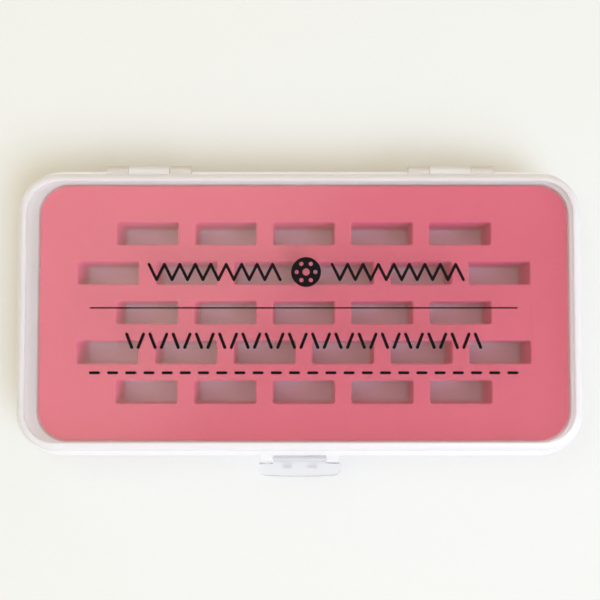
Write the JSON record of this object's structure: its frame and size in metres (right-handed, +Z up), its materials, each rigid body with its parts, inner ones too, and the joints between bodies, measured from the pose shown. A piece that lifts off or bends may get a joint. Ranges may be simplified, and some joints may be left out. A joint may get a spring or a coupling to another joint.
{
  "type": "bobbin box",
  "caption": "Shallow hinged box of translucent plastic with a slotted foam insert that stands sewing bobbins on edge, closed by a flap latch.",
  "frame": {"origin": "centre of the tray's underside, on the table", "axes": "+X along the box's length to the right, +Y to the back where the hinges are, +Z up"},
  "size_m": [0.2402, 0.1331, 0.03],
  "materials": {
    "clear_plastic": "satin",
    "foam": "matte",
    "pin_plastic": "satin"
  },
  "bodies": {
    "base": {"base_tray": "clear_plastic", "foam_insert": "foam", "hinge_pin_left": "pin_plastic", "hinge_pin_right": "pin_plastic"},
    "lid": {"lid": "clear_plastic", "latch_pin": "pin_plastic"},
    "latch": {"latch": "clear_plastic"}
  },
  "joints": [
    {"name": "lid_hinge", "type": "hinge", "parent": "base", "child": "lid", "pos_m": [0, 0.0608, 0.0184], "axis": [-1, 0, 0], "range_deg": [0, 180]},
    {"name": "latch_pivot", "type": "hinge", "parent": "lid", "child": "latch", "pos_m": [0, -0.062, 0.0194], "axis": [1, 0, 0], "range_deg": [-100, 65]}
  ]
}
